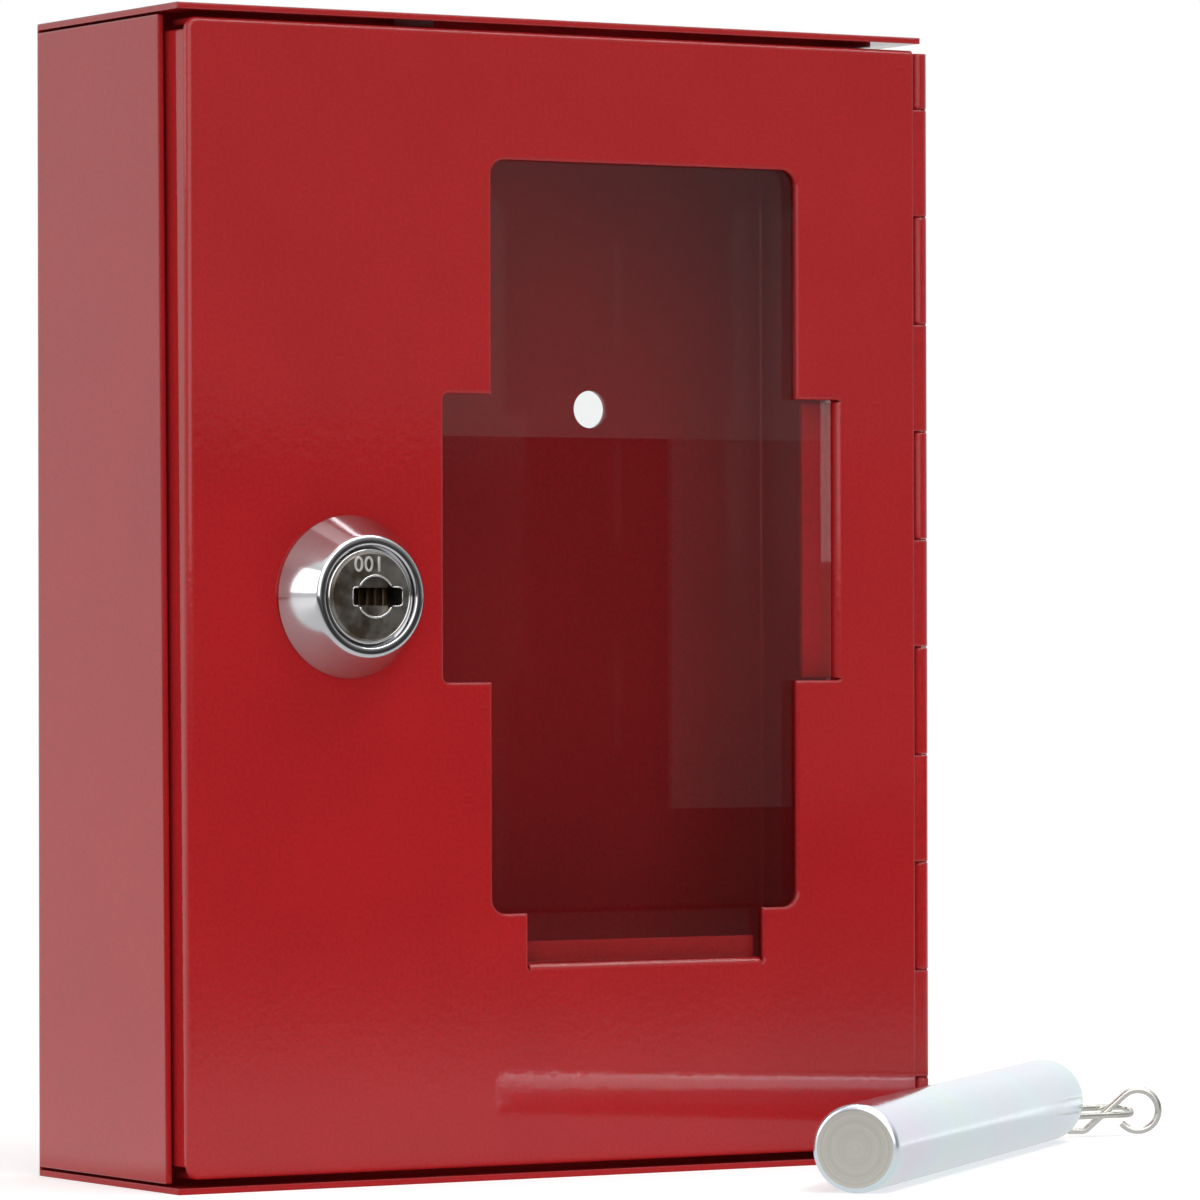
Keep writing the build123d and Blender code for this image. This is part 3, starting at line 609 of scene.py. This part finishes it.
def raised_digits(name, centre):
    """The lock's number as raised digits, turned to face out of the door."""
    lock = settings().lock
    curve = bpy.data.curves.new(name, "FONT")
    curve.body = lock.number
    curve.size = lock.digit_height / DIGIT_SHARE
    curve.extrude = 0.06 * MM
    curve.bevel_depth = 0.03 * MM
    curve.bevel_resolution = 1
    curve.space_character = 1.08
    curve.align_x = "CENTER"
    curve.align_y = "CENTER"
    holder = bpy.data.objects.new(name + "_curve", curve)
    bpy.context.scene.collection.objects.link(holder)
    bpy.context.view_layer.update()
    mesh = bpy.data.meshes.new_from_object(holder)
    bpy.data.objects.remove(holder)
    mesh.transform(Matrix.Translation(Vector(centre)) @ Matrix.Rotation(math.radians(90), 4, "X"))
    mesh.name = name
    piece = bpy.data.objects.new(name, mesh)
    bpy.context.scene.collection.objects.link(piece)
    return piece


class KEYBOX_OT_lock(bpy.types.Operator):
    """Build the lock's chrome rosette, its plug face and its number"""
    bl_idname = "keybox.lock"
    bl_label = "Lock"

    def execute(self, context):
        lock = settings().lock
        chrome = metal_material("chrome_plate", (0.70, 0.70, 0.72), roughness=0.10, grain=300.0,
                                depth=0.000003)
        plug = metal_material("plug_alloy", (0.30, 0.28, 0.255), roughness=0.34, grain=500.0,
                              depth=0.000008, tint=(0.12, 0.095, 0.07), cloud=330.0)
        bright = metal_material("worn_edge", (0.74, 0.73, 0.72), roughness=0.16, grain=700.0, depth=0.000004)
        pale = metal_material("digit_edge", (0.88, 0.87, 0.84), roughness=0.45, grain=700.0, depth=0.000004)
        brass = metal_material("wafer_brass", (0.72, 0.55, 0.28), roughness=0.35, grain=700.0, depth=0.00001)
        finish_piece(smooth_rosette("lock_rosette"), chrome, "door", "chrome", "lock_housing")
        dress("lock_plug", plug)
        dress("plug_wafers", brass)
        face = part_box("lock_plug")[0][1]
        centre = np.array((LOCK_ORIGIN[0], face, LOCK_ORIGIN[2]))
        rim = lock.plug_radius - 0.26 * MM
        # half width, half height, power and wire of each outline
        plug_outline = (rim, rim, 2, 0.24 * MM)
        dish_outline = (2.66 * MM, 2.66 * MM, 2, 0.16 * MM)
        keyway_outline = (3.60 * MM, 1.22 * MM, 10, 0.11 * MM)
        for name, place, outline, low, high in (
                ("plug_rim", -OUTWARDS * 0.42 * MM, plug_outline, 0, 360),
                ("dish_rim_upper", DISH_PLACE, dish_outline, 30, 150),
                ("dish_rim_lower", DISH_PLACE, dish_outline, 210, 330),
                ("keyway_rim_right", KEYWAY_PLACE, keyway_outline, -86.5, 86.5),
                ("keyway_rim_left", KEYWAY_PLACE, keyway_outline, 103, 257)):
            ridge = bead(name, centre + place, *outline, low, high)
            finish_piece(ridge, bright, "lock", "plug")
        digits = raised_digits("lock_digits", centre + DIGIT_PLACE)
        finish_piece(digits, pale, "lock", "plug")
        return {"FINISHED"}


def striker_frame():
    """Middle of the rod's near end, its direction, the level direction across it and its radius, from
    the low corner of the CAD node's box, which the near end's 0.5 mm chamfer touches."""
    heading = settings().striker.heading
    along = np.array((math.cos(heading), math.sin(heading), 0.0))
    across = np.array((along[1], -along[0], 0.0))
    low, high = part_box("striker")
    radius = (high[2] - low[2]) / 2
    chamfer = 0.5 * MM
    start = np.array((low[0] + (radius - chamfer) * along[1],
                      low[1] + radius * along[0] - chamfer * along[1], low[2] + radius))
    return start, along, across, radius


def smooth_rod(name):
    """Rod as a surface of revolution with both ends rounded; the attribute face holds the distance
    from the axis on the end faces, in shares of the radius, and nothing on the flank."""
    striker = settings().striker
    start, along, across, radius = striker_frame()
    length = striker.length
    corners = [(0.0, 0.0), (radius, 0.0), (radius, length), (0.0, length)]
    steps = 12
    profile = rounded_profile(corners, (0, striker.near_round, striker.end_round, 0), steps)
    inner = np.linspace(0, radius - striker.near_round, 24)[1:-1]
    face = np.stack([inner, np.zeros(len(inner))], axis=1)
    outer = np.linspace(striker.near_round, length - striker.end_round, 60)[1:-1]
    flank = np.stack([np.full(len(outer), radius), outer], axis=1)
    split = 1 + steps
    profile = np.concatenate([profile[:1], face, profile[1:split], flank, profile[split:]])
    points = lathe_points(profile, striker.segments, start, along, across)
    rod = surface_object(name, points, close_columns=True, sharp=60.0)
    mesh = rod.data
    place = np.empty(len(mesh.vertices) * 3)
    mesh.vertices.foreach_get("co", place)
    offset = place.reshape(-1, 3) - start
    run = offset @ along
    distance = np.linalg.norm(offset - run[:, None] * along, axis=1)
    tolerance, least = 1e-6, 0.01          # least keeps the middle of a face apart from the flank
    on_face = (run < tolerance) | (run > length - tolerance)
    mesh.attributes.new("face", "FLOAT", "POINT").data.foreach_set(
        "value", np.where(on_face, distance / radius + least, 0.0))
    return rod


def bail_points():
    """Wire of the bail: two legs out of the rod, bent in arcs towards +X about one centre, and joined
    by a half circle. A leg is root + side * (offset across, drop down); its bend runs through
    centre + radius * (-sin a, cos a) from the rod's heading to 0."""
    striker = settings().striker
    start, along, across = striker_frame()[:3]
    height, socket, leg_run, level_run = 3.5 * MM, 4.0 * MM, 1.2 * MM, 10.5 * MM
    offset, drop, bend, steps = 1.1046 * MM, 0.4689 * MM, 4.0 * MM, 24
    root = np.array((*(start + along * striker.length)[:2], height))
    angles = np.linspace(striker.heading, 0.0, steps)[:, None]
    bend_shape = np.concatenate([-np.sin(angles), np.cos(angles), np.zeros((steps, 1))], axis=1)
    share = np.linspace(0, 1, steps)[:, None]
    legs = []
    for side in (1, -1):
        foot = root + across * side * offset - UPWARDS * side * drop
        centre = root + along * leg_run + across * bend - UPWARDS * side * drop
        curve = centre + (bend - side * offset) * bend_shape
        straight = foot + along * (share * (socket + leg_run) - socket)
        reach = curve[-1] + RIGHTWARDS * share * level_run
        legs.append(np.concatenate([straight, curve[1:], reach[1:]]))
    near, far = legs
    middle, half = (near[-1] + far[-1]) / 2, (near[-1] - far[-1]) / 2
    turns = np.linspace(0, math.pi, steps)[1:-1, None]
    crown = middle + np.cos(turns) * half + np.sin(turns) * RIGHTWARDS * np.linalg.norm(half)
    return tube_points(np.concatenate([near, crown, far[::-1]]), striker.bail_wire, UPWARDS)


def link_points():
    """Wire of the link in an upright plane: a ring from 228 to 492 degrees, then a straight run down
    through the bail, a rounded knee and a level tail. Its joint's origin is where the bail holds it."""
    striker = settings().striker
    ring = striker.link_radius
    grip = joint_origin("link_swing")
    turn, upper, lower = np.radians((-31.1, 132, 228))
    floor_gap, lower_run, knee_radius, tail_run = 0.3 * MM, 0.5 * MM, 1.2 * MM, 2.4 * MM
    right = np.array((math.cos(turn), math.sin(turn), 0.0))
    level = ring + striker.link_wire + floor_gap
    grip_run = (ring * math.sin(upper) + level - grip[2]) / -math.cos(upper)
    grip_offset = ring * math.cos(upper) - grip_run * math.sin(upper)
    origin = np.array((grip[0], grip[1], level)) - right * grip_offset
    upper_end = ring * np.array((math.cos(upper), math.sin(upper)))
    lower_end = ring * np.array((math.cos(lower), math.sin(lower)))
    tip = lower_end + lower_run * np.array((math.sin(lower), -math.cos(lower)))
    angles = np.linspace(lower, upper + TURN, 72)[:, None]
    arc = ring * np.concatenate([np.cos(angles), np.sin(angles)], axis=1)
    knee_run = ring * (1 + math.sin(upper)) / -math.cos(upper)
    knee = np.array((upper_end[0] - knee_run * math.sin(upper), -ring))
    tail = rounded_profile([upper_end, knee, knee - (tail_run, 0.0)], (0, knee_radius, 0), steps=16)
    flat = np.concatenate([tip[None], arc, tail[1:]])
    path = origin + flat[:, :1] * right + flat[:, 1:] * UPWARDS
    return tube_points(path, striker.link_wire, np.cross(right, UPWARDS))


class KEYBOX_OT_striker(bpy.types.Operator):
    """Build the striker's rod, its wire bail and the link"""
    bl_idname = "keybox.striker"
    bl_label = "Striker"

    def execute(self, context):
        wire = metal_material("drawn_wire", (0.66, 0.65, 0.61), roughness=0.24, grain=900.0, depth=0.00001)
        finish_piece(smooth_rod("striker_rod"), plated_material(), "striker", "striker_steel", "striker")
        for name, points, body, node in (
                ("bail_wire", bail_points(), "striker", "striker_bail"),
                ("link_wire", link_points(), "link", "striker_link")):
            finish_piece(surface_object(name, points, close_columns=True), wire, body, "wire", node)
        return {"FINISHED"}


def stage_card(name, size, place, aim, strength):
    """A flat white card, seen only in reflections and through glass: a rectangle facing a point."""
    half_width, half_height = size[0] / 2, size[1] / 2
    direction = (Vector(aim) - Vector(place)).normalized()
    turn = direction.to_track_quat("Z", "Y").to_matrix().to_4x4()
    matrix = Matrix.Translation(place) @ turn
    corners = [matrix @ Vector((x * half_width, y * half_height, 0))
               for x, y in ((-1, -1), (1, -1), (1, 1), (-1, 1))]
    mesh = bpy.data.meshes.new(name)
    mesh.from_pydata([tuple(corner) for corner in corners], [], [(0, 1, 2, 3)])
    card = bpy.data.objects.new(name, mesh)
    bpy.context.scene.collection.objects.link(card)
    material, tree, output = new_material(name)
    glow = add_node(tree, "ShaderNodeEmission", inputs={"Color": WHITE, "Strength": strength})
    tree.links.new(glow.outputs["Emission"], output.inputs["Surface"])
    mesh.materials.append(material)
    card.visible_camera = False
    card.visible_diffuse = False
    card.visible_shadow = False


def area_light(name, place, aim, size, power):
    """White rectangular lamp that faces a point."""
    lamp = bpy.data.lights.new(name, "AREA")
    lamp.shape = "RECTANGLE"
    lamp.size, lamp.size_y = size
    lamp.energy = power
    light = bpy.data.objects.new(name, lamp)
    light.location = place
    light.rotation_euler = (Vector(aim) - Vector(place)).to_track_quat("-Z", "Y").to_euler()
    bpy.context.scene.collection.objects.link(light)


def floor_material():
    """White table top. The camera sees it lit, with the shadows on it, and beyond the near part plain
    white. Reflections see its light fall off before the box, out to the table's front edge, and the
    near part lifts the light on the lower half of the box."""
    material, tree, output = new_material("white_table")
    place = add_node(tree, "ShaderNodeTexCoord")
    split = add_node(tree, "ShaderNodeSeparateXYZ")
    tree.links.new(place.outputs["Object"], split.inputs["Vector"])
    reach = add_node(tree, "ShaderNodeVectorMath", operation="LENGTH")
    tree.links.new(place.outputs["Object"], reach.inputs[0])
    far = add_node(tree, "ShaderNodeMapRange", interpolation_type="SMOOTHSTEP",
                   inputs={"From Min": 0.14, "From Max": 0.32})
    tree.links.new(reach.outputs["Value"], far.inputs["Value"])
    diffuse = add_node(tree, "ShaderNodeBsdfDiffuse", inputs={"Color": (0.86, 0.86, 0.86, 1.0)})
    glow = add_node(tree, "ShaderNodeEmission", inputs={"Strength": 0.40})
    white = add_node(tree, "ShaderNodeEmission", inputs={"Strength": 1.0})
    seen = mixed_shaders(tree, far.outputs["Result"], added_shaders(tree, diffuse, glow), white)
    backward = add_node(tree, "ShaderNodeMapRange", inputs={"From Min": -1.0, "From Max": 1.0})
    tree.links.new(split.outputs["Y"], backward.inputs["Value"])
    # brightness in reflections, from 1 m before the box (0.0) over its middle (0.5) to 1 m behind
    fall = ramp(tree, backward.outputs["Result"], [
        (0.0, 0.045), (0.09, 0.045), (0.105, 0.01), (0.115, 0.07), (0.215, 0.10), (0.305, 0.20),
        (0.365, 0.46), (0.415, 0.66), (0.5, 0.72), (0.515, 1.12), (0.62, 1.04), (0.7, 1.0)])
    mirrored = add_node(tree, "ShaderNodeEmission", inputs={"Strength": 1.0})
    tree.links.new(fall.outputs["Color"], mirrored.inputs["Color"])
    path = add_node(tree, "ShaderNodeLightPath")
    bounce = add_node(tree, "ShaderNodeMapRange", interpolation_type="SMOOTHSTEP", inputs={
        "From Min": 0.02, "From Max": 0.40, "To Min": 0.55, "To Max": 0.0})
    tree.links.new(reach.outputs["Value"], bounce.inputs["Value"])
    lift = add_node(tree, "ShaderNodeEmission")
    tree.links.new(bounce.outputs["Result"], lift.inputs["Strength"])
    mirror_ray = either_socket(tree, path.outputs["Is Glossy Ray"], path.outputs["Is Transmission Ray"])
    unseen = mixed_shaders(tree, mirror_ray, added_shaders(tree, diffuse, lift), mirrored)
    last = mixed_shaders(tree, path.outputs["Is Camera Ray"], unseen, seen)
    tree.links.new(last.outputs["Shader"], output.inputs["Surface"])
    return material


def studio_world():
    """White to the camera. To reflections and through glass: a white wall behind the box, a dim room
    before it and a pale ceiling. To the rest an even soft light."""
    world = bpy.data.worlds.new("studio")
    bpy.context.scene.world = world
    world.use_nodes = True
    tree = world.node_tree
    tree.nodes.clear()
    output = tree.nodes.new("ShaderNodeOutputWorld")
    place = add_node(tree, "ShaderNodeTexCoord")
    split = add_node(tree, "ShaderNodeSeparateXYZ")
    tree.links.new(place.outputs["Generated"], split.inputs["Vector"])
    wall = add_node(tree, "ShaderNodeMapRange", inputs={
        "From Min": -0.7, "From Max": 0.7, "To Min": 0.24, "To Max": 1.0})
    tree.links.new(split.outputs["Y"], wall.inputs["Value"])
    ceiling = add_node(tree, "ShaderNodeMapRange", inputs={
        "From Min": 0.15, "From Max": 0.75, "To Min": 0.0, "To Max": 1.0})
    tree.links.new(split.outputs["Z"], ceiling.inputs["Value"])
    room = either_socket(tree, wall.outputs["Result"], ceiling.outputs["Result"])
    soft = add_node(tree, "ShaderNodeBackground", inputs={"Color": WHITE, "Strength": SOFT_LIGHT})
    mirrored = add_node(tree, "ShaderNodeBackground", inputs={"Color": WHITE})
    tree.links.new(room, mirrored.inputs["Strength"])
    white = add_node(tree, "ShaderNodeBackground", inputs={"Color": WHITE, "Strength": 1.0})
    path = add_node(tree, "ShaderNodeLightPath")
    mirror_ray = either_socket(tree, path.outputs["Is Glossy Ray"], path.outputs["Is Transmission Ray"])
    unseen = mixed_shaders(tree, mirror_ray, soft, mirrored)
    last = mixed_shaders(tree, path.outputs["Is Camera Ray"], unseen, white)
    tree.links.new(last.outputs["Shader"], output.inputs["Surface"])


def photo_camera():
    """Camera at the photograph's place: yaw from +Y towards +X, pitch upwards, roll about the view."""
    sin_yaw, cos_yaw = math.sin(CAMERA_YAW), math.cos(CAMERA_YAW)
    level_share = math.cos(CAMERA_PITCH)
    forward = Vector((sin_yaw * level_share, cos_yaw * level_share, math.sin(CAMERA_PITCH)))
    level = Vector((cos_yaw, -sin_yaw, 0))
    upright = level.cross(forward)
    right = level * math.cos(CAMERA_ROLL) + upright * math.sin(CAMERA_ROLL)
    above = upright * math.cos(CAMERA_ROLL) - level * math.sin(CAMERA_ROLL)
    turn = Matrix((right, above, -forward)).transposed().to_4x4()
    data = bpy.data.cameras.new("photo_camera")
    data.sensor_width = SENSOR
    data.lens = FOCAL_PIXELS / IMAGE_SIDE * SENSOR
    data.clip_start = 0.01
    data.clip_end = 50.0
    camera = bpy.data.objects.new("photo_camera", data)
    camera.matrix_world = Matrix.Translation(CAMERA_PLACE) @ turn
    bpy.context.scene.collection.objects.link(camera)
    bpy.context.scene.camera = camera


class KEYBOX_OT_stage(bpy.types.Operator):
    """Set up the table, the studio light and the photograph's camera"""
    bl_idname = "keybox.stage"
    bl_label = "Stage"

    def execute(self, context):
        side = 6.0
        corners = np.array([[-side, -side, 0], [side, -side, 0], [side, side, 0], [-side, side, 0]])
        mesh = bpy.data.meshes.new("table")
        mesh.from_pydata(corners, [], [(0, 1, 2, 3)])
        mesh.materials.append(floor_material())
        table = bpy.data.objects.new("table", mesh)
        bpy.context.scene.collection.objects.link(table)
        studio_world()
        middle = (0, 0, 0.07)
        for name, place, size, power in (
                ("key", (-0.55, -1.1, 0.60), (1.5, 1.1), 8.0),
                ("side", (-1.4, 0.3, 0.6), (0.8, 0.8), 4.0),
                ("overhead", (0.2, 0.1, 1.5), (1.4, 1.4), 8.5),
                ("strip", (0.25, -0.45, 0.9), (0.9, 0.06), 2.4)):
            area_light(name, place, middle, size, power)
        for name, (left, right, low, high), strength in (
                ("dark_room", DARK_CARD, 0.04), ("dim_room", DIM_CARD, 0.15)):
            across, height = (left + right) / 2, (low + high) / 2
            stage_card(name, (right - left, high - low), (across, CARD_PLANE, height),
                       (across, 0.0, height), strength)
        photo_camera()
        context.scene.view_settings.view_transform = "Standard"
        return {"FINISHED"}


class KEYBOX_PT_panel(bpy.types.Panel):
    """Key box pieces and sizes"""
    bl_idname = "KEYBOX_PT_panel"
    bl_label = "Key Box"
    bl_space_type = "VIEW_3D"
    bl_region_type = "UI"
    bl_category = "Key Box"

    def draw(self, context):
        for group in (settings().paint, settings().hinge, settings().lock, settings().striker):
            box = self.layout.box()
            for key in group.bl_rna.properties.keys():
                if key not in ("rna_type", "name"):
                    box.prop(group, key)
        for operator in OPERATORS:
            self.layout.operator(operator.bl_idname)


OPERATORS = (KEYBOX_OT_sheet_metal, KEYBOX_OT_pane, KEYBOX_OT_lock, KEYBOX_OT_striker, KEYBOX_OT_stage)
CLASSES = (KeyboxPaint, KeyboxHinge, KeyboxLock, KeyboxStriker, KeyboxSettings,
           *OPERATORS, KEYBOX_PT_panel)


def register():
    for item in CLASSES:
        bpy.utils.register_class(item)
    bpy.types.Scene.keybox = PointerProperty(type=KeyboxSettings)


def unregister():
    del bpy.types.Scene.keybox
    for item in reversed(CLASSES):
        bpy.utils.unregister_class(item)


def main():
    register()
    bpy.ops.keybox.sheet_metal()
    bpy.ops.keybox.pane()
    bpy.ops.keybox.lock()
    bpy.ops.keybox.striker()
    bpy.ops.keybox.stage()


if __name__ == "__main__":
    main()
